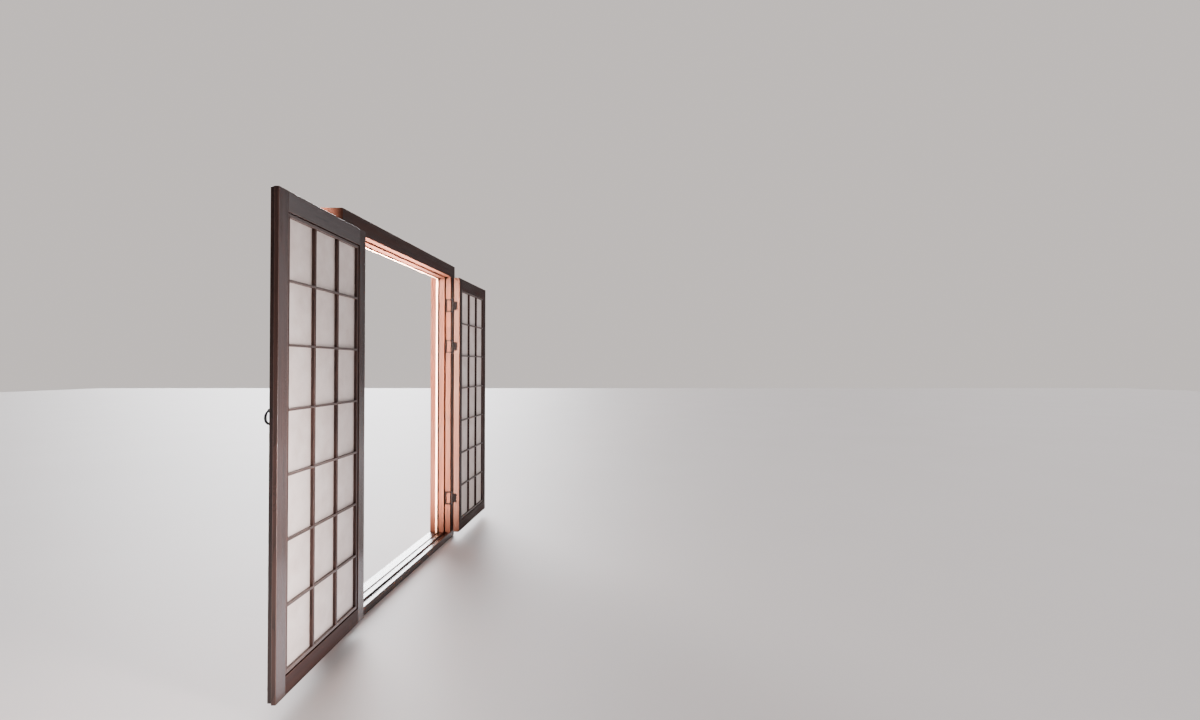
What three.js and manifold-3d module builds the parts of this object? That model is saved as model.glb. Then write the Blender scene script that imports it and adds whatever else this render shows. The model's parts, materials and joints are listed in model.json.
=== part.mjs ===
// A pair of hinged lattice doors standing open in their timber frame, as in a traditional Korean house.
// Millimetres. X runs along the wall, Y from the room (-Y) to the outdoors (+Y), Z up.
// The origin is the middle of the sill's underside. "near" is the -X side of the doorway, "far" the +X side.
import * as THREE from "three";
import { mergeVertices } from "three/addons/utils/BufferGeometryUtils.js";
import Module from "manifold-3d";

const wasm = await Module();
wasm.setup();

// The doorway, between the rebates that the leaves close into
const OPENING_WIDTH = 1450;
const REBATE_BOTTOM = 45;
const REBATE_TOP = 1935;

// Main frame: a rebate on the room side, then a stop that the leaves close against
const FRAME_FRONT = -68;
const STOP_FRONT = -30;
const MAIN_BACK = 9;
const JAMB_WIDTH = 90;
const HEAD_TOP = 2025;
const JAMB_STOP = 25;
const HEAD_STOP = 12;
const SILL_STOP = 10;

// Outer casing: a second frame behind the main one, whose faces lie this far inside the rebates
const CASING_BACK = 70;
const JAMB_CASING = 25;
const HEAD_CASING = 0;
const SILL_CASING = 15;

// Draught bead: a painted batten along the casing's head and jambs, with a rubber seal on its room side
const BEAD_REACH = 20;
const BEAD_BACK = 25;
const SEAL_THICKNESS = 1.5;

// Leaves, measured along s from the hinge edge, by depth d from the outdoor face, and up from their bottom
const RUNNING_GAP = 5;
const LAP = 8;
const LEAF_THICKNESS = 38;
const STILE_WIDTH = 62;
const TOP_RAIL = 78;
const BOTTOM_RAIL = 70;
const TONGUE = LAP + RUNNING_GAP;
const NEAR_TONGUE_DEPTH = 17;
const NEAR_OPEN_DEG = 177.4;
const FAR_OPEN_DEG = 180;

// Lattice: a border strip set in from the timber by a shadow groove, and bars in three columns of seven
const COLUMNS = 3;
const ROWS = 7;
const GROOVE = 5;
const BORDER = 12;
const UPRIGHT_BAR = 12;
const CROSS_BAR = 9;
const LATTICE_FRONT = 3.5;
const LATTICE_BACK = 17.5;
const FLANGE_FRONT = 11.5;
const PAPER_THICKNESS = 0.8;

// Hinges: a C-shaped plate on the jamb, and a smaller plate on the leaf that nests into its window
const PIN_Y = -84;
const HINGE_HEIGHTS = { top: 1723, upper: 1420, bottom: 300 };
const HINGE_LENGTH = 100;
const KNUCKLE_LENGTH = 68;
const KNUCKLE_RADIUS = 8;
const KNUCKLE_BORE = 4.6;
const KNUCKLE_GAP = 1;
const PIN_RADIUS = 4;
const PIN_HEAD_RADIUS = 6;
const PIN_HEAD = 3;
const JAMB_PLATE_REACH = 50;
const WINDOW_REACH = 40;
const WINDOW_LENGTH = 74;
const LEAF_PLATE_REACH = 35;
const LEAF_PLATE_LENGTH = 66;
const LEAF_PLATE_SEAM = 5.5;
const PLATE_THICKNESS = 2.2;
const PLATE_CORNER = 4;
const SCALLOP_RADIUS = 5;
const SCALLOP_OFFSET = 11;

// Pulls: a round ring hanging in the eye of a staple, on the room face near the meeting edge
const RING_RADIUS = 24;
const RING_WIRE = 3.5;
const RING_STANDOFF = 13;
const RING_CENTRE_HEIGHT = 1084.5;
const ROSE_RADIUS = 18;
const ROSE_THICKNESS = 2;
const EYE_BORE = 4.3;
const EYE_RADIUS = 6.8;
const STAPLE_WIDTH = 4;

const SEAT = 0.3; // left between pieces that sit against each other in a turned leaf
const ARRIS = 2; // chamfer along the timbers' edges

const half = OPENING_WIDTH / 2;
const pinX = half - RUNNING_GAP / 2;
const outside = half + JAMB_WIDTH;
const leafWidth = half - RUNNING_GAP + LAP / 2;
const leafBottom = REBATE_BOTTOM + RUNNING_GAP;
const leafHeight = REBATE_TOP - RUNNING_GAP - leafBottom;
const faceFromPin = STOP_FRONT - RUNNING_GAP - PIN_Y;
const field = {
  s0: STILE_WIDTH,
  s1: leafWidth - STILE_WIDTH,
  h0: BOTTOM_RAIL,
  h1: leafHeight - TOP_RAIL,
};

const timber = (color) => new THREE.MeshStandardMaterial({ color, roughness: 0.62, metalness: 0 });
const FRAME_TIMBER = timber(0x9a5a3c);
const LEAF_TIMBER = timber(0x6b4a40);
const PAINTED_BATTEN = new THREE.MeshStandardMaterial({ color: 0xe0d8d4, roughness: 0.5, metalness: 0 });
const RUBBER = new THREE.MeshStandardMaterial({ color: 0x191717, roughness: 0.8, metalness: 0 });
const PAPER = new THREE.MeshStandardMaterial({ color: 0xe9e3d8, roughness: 0.9, metalness: 0 });
const IRON = new THREE.MeshStandardMaterial({ color: 0x24262a, roughness: 0.45, metalness: 0.9 });

const X = new THREE.Vector3(1, 0, 0);
const Y = new THREE.Vector3(0, 1, 0);
const Z = new THREE.Vector3(0, 0, 1);
const INWARD = new THREE.Vector3(0, -1, 0);

function mesh(name, geometry, material) {
  const made = new THREE.Mesh(geometry, material);
  made.name = name;
  return made;
}

function solidOf(geometry) {
  const bare = geometry.clone();
  bare.deleteAttribute("normal");
  bare.deleteAttribute("uv");
  const merged = mergeVertices(bare, 1e-4);
  return new wasm.Manifold(
    new wasm.Mesh({
      numProp: 3,
      vertProperties: new Float32Array(merged.attributes.position.array),
      triVerts: new Uint32Array(merged.index.array),
    }),
  );
}

function geometryOf(solid) {
  const { vertProperties, triVerts } = solid.getMesh();
  const geometry = new THREE.BufferGeometry();
  geometry.setAttribute("position", new THREE.BufferAttribute(vertProperties, 3));
  geometry.setIndex(new THREE.BufferAttribute(triVerts, 1));
  geometry.computeVertexNormals();
  return geometry;
}

function fuse(...geometries) {
  return geometryOf(geometries.map(solidOf).reduce((all, next) => all.add(next)));
}

function cut(geometry, ...tools) {
  return geometryOf(tools.map(solidOf).reduce((rest, tool) => rest.subtract(tool), solidOf(geometry)));
}

const outline = (points) => new THREE.Shape(points.map(([a, b]) => new THREE.Vector2(a, b)));

// Extrudes a flat shape: its first coordinate follows axis u, its second axis v, and its length axis w.
function prism(shape, u, v, w, a, b) {
  const depth = Math.abs(b - a);
  const geometry = new THREE.ExtrudeGeometry(shape, { depth, bevelEnabled: false, curveSegments: 8 });
  return geometry.translate(0, 0, Math.min(a, b)).applyMatrix4(new THREE.Matrix4().makeBasis(u, v, w));
}

const alongX = (points, a, b) => prism(outline(points), Y, Z, X, a, b);
const alongZ = (points, a, b) => prism(outline(points), X, Y, Z, a, b);

// A rectangle between two opposite corners, with a small chamfer at each corner.
function eased([ax, ay], [bx, by], c = ARRIS) {
  const [x0, x1, y0, y1] = [Math.min(ax, bx), Math.max(ax, bx), Math.min(ay, by), Math.max(ay, by)];
  return [
    [x0 + c, y0], [x1 - c, y0], [x1, y0 + c], [x1, y1 - c],
    [x1 - c, y1], [x0 + c, y1], [x0, y1 - c], [x0, y0 + c],
  ];
}

const square = (x0, y0, x1, y1) => [[x0, y0], [x1, y0], [x1, y1], [x0, y1]];

// Upright cylinder.
function post(radius, z0, z1, sides = 16) {
  const geometry = new THREE.CylinderGeometry(radius, radius, z1 - z0, sides);
  return geometry.rotateX(Math.PI / 2).translate(0, 0, (z0 + z1) / 2);
}

// Section through one member of the main frame, as [y, distance]: the rebate, then the stop proud of it.
function steppedSection(back, rebate, stop) {
  const ease = Math.sign(rebate - stop) * ARRIS;
  return [
    [FRAME_FRONT, back],
    [FRAME_FRONT, rebate + ease],
    [FRAME_FRONT + ARRIS, rebate],
    [STOP_FRONT, rebate],
    [STOP_FRONT, stop + ease],
    [STOP_FRONT + ARRIS, stop],
    [MAIN_BACK, stop],
    [MAIN_BACK, back],
  ];
}

// Section through one member of the outer casing, eased at both edges of its inner face.
function casingSection(back, face) {
  const ease = Math.sign(back - face) * ARRIS;
  return [
    [MAIN_BACK, back],
    [MAIN_BACK, face + ease],
    [MAIN_BACK + ARRIS, face],
    [CASING_BACK - ARRIS, face],
    [CASING_BACK, face + ease],
    [CASING_BACK, back],
  ];
}

// One of the two frames: head and sill run through, and the jambs stand between them, scribed to their edges.
function timberFrame(names, section, [rebateBottom, sillFace], [rebateTop, headFace], [jambRebate, jambFace]) {
  const head = alongX(section(HEAD_TOP, rebateTop, headFace), -outside, outside);
  const sill = alongX(section(0, rebateBottom, sillFace), -outside, outside);
  const jamb = (side) => {
    const plan = section(outside, jambRebate, jambFace).map(([y, x]) => [side * x, y]);
    return cut(alongZ(plan, rebateBottom - ARRIS, rebateTop + ARRIS), head, sill);
  };
  return [
    mesh(names.head, head, FRAME_TIMBER),
    mesh(names.sill, sill, FRAME_TIMBER),
    mesh(names.near, jamb(-1), FRAME_TIMBER),
    mesh(names.far, jamb(1), FRAME_TIMBER),
  ];
}

function mainFrame() {
  return timberFrame(
    { head: "head", sill: "sill", near: "near_jamb", far: "far_jamb" },
    steppedSection,
    [REBATE_BOTTOM, REBATE_BOTTOM + SILL_STOP],
    [REBATE_TOP, REBATE_TOP - HEAD_STOP],
    [half, half - JAMB_STOP],
  );
}

function outerCasing() {
  const [bottom, top, face] = [REBATE_BOTTOM + SILL_CASING, REBATE_TOP - HEAD_CASING, half - JAMB_CASING];
  return timberFrame(
    { head: "outer_head", sill: "outer_sill", near: "near_outer_jamb", far: "far_outer_jamb" },
    casingSection,
    [bottom],
    [top],
    [face],
  );
}

// Each bead stands on the casing's inner face, and its seal fills the way to the main frame's back.
function draughtBead() {
  const [bottom, top, face] = [REBATE_BOTTOM + SILL_CASING, REBATE_TOP - HEAD_CASING, half - JAMB_CASING];
  const underside = top - BEAD_REACH;
  const seam = MAIN_BACK + SEAL_THICKNESS;
  const strips = [
    { kind: "seal", front: MAIN_BACK, back: seam, material: RUBBER },
    { kind: "bead", front: seam, back: BEAD_BACK, material: PAINTED_BATTEN },
  ];
  return strips.flatMap(({ kind, front, back, material }) => {
    const side = (s) => alongZ(square(s * face, front, s * (face - BEAD_REACH), back), bottom, underside);
    return [
      mesh(`head_${kind}`, alongX(square(front, underside, back, top), -face, face), material),
      mesh(`near_${kind}`, side(-1), material),
      mesh(`far_${kind}`, side(1), material),
    ];
  });
}

// Jamb half of a hinge about its pin: the C-shaped plate, the two end knuckles and the pin through them.
function jambHinge(side) {
  const end = HINGE_LENGTH / 2;
  const window = WINDOW_LENGTH / 2;
  const knuckle = KNUCKLE_LENGTH / 2 + KNUCKLE_GAP;
  const [reach, c] = [JAMB_PLATE_REACH, PLATE_CORNER];
  const plate = [
    [0, -end], [reach - c, -end], [reach, c - end], [reach, end - c], [reach - c, end], [0, end],
    [0, window], [WINDOW_REACH, window], [WINDOW_REACH, -window], [0, -window],
  ];
  const face = side * (RUNNING_GAP / 2);
  return fuse(
    alongX(plate, face - side * PLATE_THICKNESS, face),
    post(KNUCKLE_RADIUS, knuckle, end),
    post(KNUCKLE_RADIUS, -end, -knuckle),
    post(PIN_RADIUS, -end, end),
    post(PIN_HEAD_RADIUS, end, end + PIN_HEAD),
    post(PIN_HEAD_RADIUS, -end - PIN_HEAD, -end),
  );
}

// Leaf half of a hinge about its pin: a scalloped plate and the middle knuckle that turns on the pin.
function leafHinge(side) {
  const [end, reach, c] = [LEAF_PLATE_LENGTH / 2, LEAF_PLATE_REACH, PLATE_CORNER];
  const plate = new THREE.Shape();
  plate.moveTo(LEAF_PLATE_SEAM, -end);
  plate.lineTo(reach - 2 * c, -end);
  plate.lineTo(reach, 2 * c - end);
  for (const centre of [-SCALLOP_OFFSET, SCALLOP_OFFSET]) {
    plate.lineTo(reach, centre - SCALLOP_RADIUS);
    plate.absarc(reach, centre, SCALLOP_RADIUS, -Math.PI / 2, Math.PI / 2, true);
  }
  plate.lineTo(reach, end - 2 * c);
  plate.lineTo(reach - 2 * c, end);
  plate.lineTo(LEAF_PLATE_SEAM, end);
  const edge = -side * (RUNNING_GAP / 2 - SEAT);
  const knuckle = post(KNUCKLE_RADIUS, -KNUCKLE_LENGTH / 2, KNUCKLE_LENGTH / 2);
  const bore = post(KNUCKLE_BORE, -KNUCKLE_LENGTH, KNUCKLE_LENGTH);
  return fuse(prism(plate, Y, Z, X, edge, edge + side * (PLATE_THICKNESS - SEAT)), cut(knuckle, bore));
}

// Stile that meets the other leaf: half its thickness runs on as a tongue, which laps over the other's.
function meetingStile(tongueOutside) {
  const [root, c] = [field.s1, ARRIS];
  const [outer, inner] = tongueOutside ? [leafWidth, leafWidth - TONGUE] : [leafWidth - TONGUE, leafWidth];
  const step = NEAR_TONGUE_DEPTH + (tongueOutside ? 0 : RUNNING_GAP);
  const t = LEAF_THICKNESS;
  return [
    [root + c, 0], [outer - c, 0], [outer, c], [outer, step], [inner, step],
    [inner, t - c], [inner - c, t], [root + c, t], [root, t - c], [root, c],
  ];
}

// Border strip and half-lapped bars in one grille, with a thinner flange behind the groove that seats it.
function lattice(at, through) {
  const strip = (outer, inner, front) => {
    const ring = at(square(field.s0 + outer, field.h0 + outer, field.s1 - outer, field.h1 - outer));
    const clear = at(square(field.s0 + inner, field.h0 + inner, field.s1 - inner, field.h1 - inner));
    return cut(through(ring, front, LATTICE_BACK), through(clear, front - 1, LATTICE_BACK + 1));
  };
  const bar = (s0, h0, s1, h1) => through(at(square(s0, h0, s1, h1)), LATTICE_FRONT, LATTICE_BACK);
  const inset = GROOVE + BORDER;
  const [s0, s1, h0, h1] = [field.s0 + inset, field.s1 - inset, field.h0 + inset, field.h1 - inset];
  const columnPitch = (s1 - s0 + UPRIGHT_BAR) / COLUMNS;
  const rowPitch = (h1 - h0 + CROSS_BAR) / ROWS;
  const end = BORDER / 2; // each bar is let into the border strip by this much
  const bars = [];
  for (let column = 1; column < COLUMNS; column += 1) {
    const s = s0 + column * columnPitch;
    bars.push(bar(s - UPRIGHT_BAR, h0 - end, s, h1 + end));
  }
  for (let row = 1; row < ROWS; row += 1) {
    const h = h0 + row * rowPitch;
    bars.push(bar(s0 - end, h - CROSS_BAR, s1 + end, h));
  }
  return fuse(strip(GROOVE, inset, LATTICE_FRONT), strip(SEAT, GROOVE + end, FLANGE_FRONT), ...bars);
}

// Round rose on the stile's room face, with the staple's shank and eye standing out of it.
function pullStaple(x, roomFace, pivot) {
  const eyeY = roomFace - RING_STANDOFF;
  const eyeZ = pivot + EYE_BORE - RING_WIRE - SEAT;
  const eye = new THREE.Shape().absarc(eyeY, eyeZ, EYE_RADIUS, 0, 2 * Math.PI);
  eye.holes.push(new THREE.Path().absarc(eyeY, eyeZ, EYE_BORE, 0, 2 * Math.PI));
  const [left, right] = [x - STAPLE_WIDTH / 2, x + STAPLE_WIDTH / 2];
  const shankEnd = eyeY + (EYE_BORE + EYE_RADIUS) / 2;
  const shank = square(shankEnd, eyeZ - EYE_BORE, roomFace - SEAT, eyeZ + EYE_BORE);
  const rose = new THREE.CylinderGeometry(ROSE_RADIUS, ROSE_RADIUS, ROSE_THICKNESS, 24);
  rose.translate(x, roomFace - SEAT - ROSE_THICKNESS / 2, pivot);
  return fuse(prism(eye, Y, Z, X, left, right), alongX(shank, left, right), rose);
}

// A leaf turned open about its pins. Its group's origin is on the pin line, at the leaf's bottom.
function leaf(name, side, openDeg, tongueOutside) {
  const x = (s) => -side * (s + RUNNING_GAP / 2);
  const y = (d) => faceFromPin - d;
  const at = (points) => outline(points.map(([s, h]) => [x(s), h]));
  const through = (shape, d0, d1) => prism(shape, X, Z, INWARD, -y(d0), -y(d1));
  const upright = (plan) => alongZ(plan.map(([s, d]) => [x(s), y(d)]), 0, leafHeight);
  const rail = (h0, h1) => alongX(
    eased([y(0), h0], [y(LEAF_THICKNESS), h1]),
    x(field.s0 + SEAT),
    x(field.s1 - SEAT),
  );
  const paper = at(square(field.s0 + SEAT, field.h0 + SEAT, field.s1 - SEAT, field.h1 - SEAT));
  const paperFront = LATTICE_BACK + SEAT;
  const ringX = x(leafWidth - (STILE_WIDTH + TONGUE) / 2);
  const roomFace = y(LEAF_THICKNESS);
  const ringCentre = RING_CENTRE_HEIGHT - leafBottom;
  const ring = new THREE.TorusGeometry(RING_RADIUS, RING_WIRE, 10, 28).rotateX(Math.PI / 2);
  ring.translate(ringX, roomFace - RING_STANDOFF, ringCentre);

  const group = new THREE.Group();
  group.position.set(side * pinX, PIN_Y, leafBottom);
  group.rotation.z = THREE.MathUtils.degToRad(side * openDeg);
  group.add(
    mesh(`${name}_hinge_stile`, upright(eased([0, 0], [STILE_WIDTH, LEAF_THICKNESS])), LEAF_TIMBER),
    mesh(`${name}_meeting_stile`, upright(meetingStile(tongueOutside)), LEAF_TIMBER),
    mesh(`${name}_top_rail`, rail(field.h1, leafHeight), LEAF_TIMBER),
    mesh(`${name}_bottom_rail`, rail(0, field.h0), LEAF_TIMBER),
    mesh(`${name}_lattice`, lattice(at, through), LEAF_TIMBER),
    mesh(`${name}_paper`, through(paper, paperFront, paperFront + PAPER_THICKNESS), PAPER),
    mesh(`${name}_pull_staple`, pullStaple(ringX, roomFace, ringCentre + RING_RADIUS), IRON),
    mesh(`${name}_pull_ring`, ring, IRON),
  );
  for (const [place, height] of Object.entries(HINGE_HEIGHTS)) {
    const plate = mesh(`${name}_plate_${place}`, leafHinge(side), IRON);
    plate.position.z = height - leafBottom;
    group.add(plate);
  }
  return group;
}

function jambHinges(name, side) {
  return Object.entries(HINGE_HEIGHTS).map(([place, height]) => {
    const hinge = mesh(`${name}_hinge_${place}`, jambHinge(side), IRON);
    hinge.position.set(side * pinX, PIN_Y, height);
    return hinge;
  });
}

const door = new THREE.Group();
door.add(
  ...mainFrame(),
  ...outerCasing(),
  ...draughtBead(),
  ...jambHinges("near_jamb", -1),
  ...jambHinges("far_jamb", 1),
  leaf("near_leaf", -1, NEAR_OPEN_DEG, true),
  leaf("far_leaf", 1, FAR_OPEN_DEG, false),
);

export default door;
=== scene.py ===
import json
import math
import random

import bmesh
import bpy
from mathutils import Matrix, Vector, noise


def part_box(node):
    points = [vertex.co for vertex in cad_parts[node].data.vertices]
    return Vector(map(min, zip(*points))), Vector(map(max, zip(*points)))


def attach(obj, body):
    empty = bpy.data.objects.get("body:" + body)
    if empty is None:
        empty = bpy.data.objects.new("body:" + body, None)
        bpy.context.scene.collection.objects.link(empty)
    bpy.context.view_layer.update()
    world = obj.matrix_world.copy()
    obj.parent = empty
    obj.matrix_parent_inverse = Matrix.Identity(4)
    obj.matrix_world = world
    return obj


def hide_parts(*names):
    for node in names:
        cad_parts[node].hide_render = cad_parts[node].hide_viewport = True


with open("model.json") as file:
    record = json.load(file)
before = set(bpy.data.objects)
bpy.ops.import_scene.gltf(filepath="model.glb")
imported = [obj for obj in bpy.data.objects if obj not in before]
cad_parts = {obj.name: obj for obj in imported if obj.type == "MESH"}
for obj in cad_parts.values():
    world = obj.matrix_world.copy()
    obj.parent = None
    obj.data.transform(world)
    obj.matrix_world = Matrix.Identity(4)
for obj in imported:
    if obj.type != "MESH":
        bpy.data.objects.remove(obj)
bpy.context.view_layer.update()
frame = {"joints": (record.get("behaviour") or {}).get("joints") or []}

# The main frame. Four planed softwood timbers: head and sill run through, and the jambs stand between
# them, scribed to their edges. Each has a rebate on the room side for the leaves and a stop behind it.
sill_low, sill_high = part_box("sill")
head_low, head_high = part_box("head")
reach = sill_high.x
stop_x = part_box("far_jamb")[0].x
STOP_FRONT = -0.030
JAMB_STOP = 0.025
HEAD_STOP = 0.012
SILL_STOP = 0.010
ARRIS = 0.0018
ARRIS_CUTS = 3
ARRIS_MOST = 0.45  # of an edge, what its arris may take
MARGIN = 0.0015  # beside an arris, a strip that keeps the face shading flat
MARGIN_MOST = 1.02  # of what an arris may take, where its margin ends
CURVE = 1.85  # 1 + the cosine between two edges' directions, past which they are one curve
WEAR_ALONG = 11
WEAR_ACROSS = 3.7
WEAR_BETWEEN = 1.9
WEAR_MEAN = 0.4
LET_IN = 0.0014  # a jamb's end is let into the rounded edge it stands on, so that no gap shows
HAIR = 0.0002
RING_WIDTH = 0.0036
GRAIN_LEAN = 0.016
KNOTS_PER_METRE = 7.5
KNOT_REACH = 0.034
KNOT_SWIRL = 0.016
TIMBER_SHINE = 0.1
WAX_ROUGHNESS = 0.22
SILL_WAX = 0.9  # rubbed bright underfoot
HEAD_WAX = 0.1
rebate_x = stop_x + JAMB_STOP
rebate_top = head_low.z + HEAD_STOP
rebate_bottom = sill_high.z - SILL_STOP


def tone(red, green, blue):
    """A colour as the eye reads it, from 0 to 255, as light."""
    return (*(((c / 255 + 0.055) / 1.055) ** 2.4 for c in (red, green, blue)), 1.0)


def outline_ring(corners, radii):
    """A section's outline with rounded outside corners, as (point, outward, how rubbed, if it curves)."""
    ring = []
    for i, corner in enumerate(corners):
        back = corners[i - 1] - corner
        on = corners[(i + 1) % len(corners)] - corner
        room_back, room_on = ARRIS_MOST * back.length, ARRIS_MOST * on.length
        back.normalize()
        on.normalize()
        outward_back, outward_on = Vector((-back.y, back.x)), Vector((on.y, -on.x))
        together = 1 + outward_back.dot(outward_on)
        if on.cross(back) <= 0 or together > CURVE:
            ring.append((corner, (outward_back + outward_on) / together, 0.0, together > CURVE))
            continue
        opening = back.angle(on)
        run = min(radii[i] / math.tan(opening / 2), room_back, room_on)
        radius = run * math.tan(opening / 2)
        centre = corner + (back + on).normalized() * (radius / math.sin(opening / 2))
        margin_back = min(run + MARGIN, room_back * MARGIN_MOST)
        margin_on = min(run + MARGIN, room_on * MARGIN_MOST)
        ring.append((corner + back * margin_back, outward_back, 0.0, False))
        for step in range(ARRIS_CUTS + 1):
            turned = Matrix.Rotation((math.pi - opening) * step / ARRIS_CUTS, 2) @ outward_back
            ring.append((centre + turned * radius, turned, 1.0, True))
        ring.append((corner + on * margin_on, outward_on, 0.0, False))
    return ring


def sweep(mesh, corners, place, low, high, arris=ARRIS, ease=0.0006, pitch=0.05, worn=0.25, seed=0):
    """Adds a closed bar to a bmesh: its section from low to high, with arrises that wear unevenly.
    place turns (u, v, along) into a point. low and high are lengths, or functions of u and v. ease
    rounds the ends, and pitch is the step along the bar."""
    rubbed = mesh.verts.layers.float.get("rubbed") or mesh.verts.layers.float.new("rubbed")
    corners = [Vector(corner) for corner in corners]
    if sum(a.cross(b) for a, b in zip(corners, corners[1:] + corners[:1])) < 0:
        corners.reverse()
    start = low if callable(low) else lambda u, v: low
    end = high if callable(high) else lambda u, v: high
    length = end(*corners[0]) - start(*corners[0])
    inner = 3 * ease
    cuts = max(1, round((length - 2 * ease) / pitch))
    stations = [(0, ease + inner, 0), (0, ease, 1), (0.3 * ease, 0.3 * ease, 1)]
    stations += [(ease + (length - 2 * ease) * i / cuts, 0, None) for i in range(cuts + 1)]
    stations += [(length - along, inset, rub) for along, inset, rub in reversed(stations[:3])]
    rings = []
    for along, inset, rub in stations:
        radii = []
        for i in range(len(corners)):
            wear = noise.noise((along * WEAR_ALONG, i * WEAR_ACROSS, seed * WEAR_BETWEEN))
            radii.append(arris * (1 + worn * wear + worn * WEAR_MEAN))
        ring = []
        outline = outline_ring(corners, radii)
        for point, outward, edge, _ in outline:
            u, v = point - outward * inset
            first, last = start(*point), end(*point)
            vertex = mesh.verts.new(place(u, v, first + (last - first) * along / length))
            vertex[rubbed] = edge if rub is None else rub
            ring.append(vertex)
        rings.append(ring)
    made = []
    for a, b in zip(rings, rings[1:]):
        for i in range(len(a)):
            face = mesh.faces.new((a[i - 1], a[i], b[i], b[i - 1]))
            face.smooth = outline[i - 1][3] and outline[i][3]
            made.append(face)
    made += [mesh.faces.new(rings[0]), mesh.faces.new(rings[-1])]
    bmesh.ops.recalc_face_normals(mesh, faces=made)


def new_object(name, data):
    """An object in the scene, at the origin."""
    made = bpy.data.objects.new(name, data)
    bpy.context.scene.collection.objects.link(made)
    return made


def piece(name, mesh, material):
    """The finished object of a bmesh."""
    data = bpy.data.meshes.new(name)
    mesh.to_mesh(data)
    mesh.free()
    data.materials.append(material)
    return new_object(name, data)


def fit(made, body, slot, *nodes):
    """Puts a piece on its body, in place of the plain solids that it stands for."""
    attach(made, body)
    if nodes:
        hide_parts(*nodes)


def node(tree, kind, inputs, out=0, **settings):
    """Adds a node with its settings, links or sets its inputs, and gives one of its outputs."""
    made = tree.nodes.new(kind)
    for key, value in settings.items():
        setattr(made, key, value)
    for key, value in inputs.items():
        if isinstance(value, bpy.types.NodeSocket):
            tree.links.new(value, made.inputs[key])
        else:
            made.inputs[key].default_value = value
    return made.outputs[out]


def mixed(tree, factor, a, b, blend="MIX"):
    """Two colours mixed by a factor."""
    inputs = {0: factor, 6: a, 7: b}
    return node(tree, "ShaderNodeMix", inputs, out=2, data_type="RGBA", blend_type=blend)


def spread(tree, value, low, high, to_low=0.0, to_high=1.0):
    """A value stretched from one span to another, and held there."""
    inputs = {"Value": value, 1: low, 2: high, 3: to_low, 4: to_high}
    return node(tree, "ShaderNodeMapRange", inputs)


def sums(tree, operation, *values):
    """A number worked out from others."""
    return node(tree, "ShaderNodeMath", dict(enumerate(values)), operation=operation)


def vectors(tree, operation, a, b):
    """A vector worked out from two others."""
    return node(tree, "ShaderNodeVectorMath", {0: a, 1: b}, operation=operation)


def clouds(tree, place, scale, detail):
    """Plain noise in a place."""
    return node(tree, "ShaderNodeTexNoise", {"Vector": place, "Scale": scale, "Detail": detail})


def dimmed(tree, colour, value, low, high, darkest, lightest):
    """A colour made darker and lighter by a value."""
    shade = spread(tree, value, low, high, darkest, lightest)
    grey = node(tree, "ShaderNodeCombineColor", {0: shade, 1: shade, 2: shade})
    return mixed(tree, 1.0, colour, grey, "MULTIPLY")


def rubbed_parts(tree, patches, low, high, least, most):
    """How far each part is rubbed: its arrises and rims, more in some patches than in others."""
    rubbed = node(tree, "ShaderNodeAttribute", {}, out="Fac", attribute_name="rubbed")
    return sums(tree, "MULTIPLY", rubbed, spread(tree, patches, low, high, least, most))


def new_finish(name):
    """An empty material: its tree, its shader and the piece's own coordinates."""
    material = bpy.data.materials.new(name)
    material.use_nodes = True
    tree = material.node_tree
    place = node(tree, "ShaderNodeTexCoord", {}, out="Object")
    return material, tree, tree.nodes["Principled BSDF"], place


def relief(tree, shader, height, strength, depth):
    """Gives a surface its fine relief."""
    inputs = {"Height": height, "Strength": strength, "Distance": depth}
    bump = node(tree, "ShaderNodeBump", inputs)
    tree.links.new(bump, shader.inputs["Normal"])
    return bump


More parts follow.
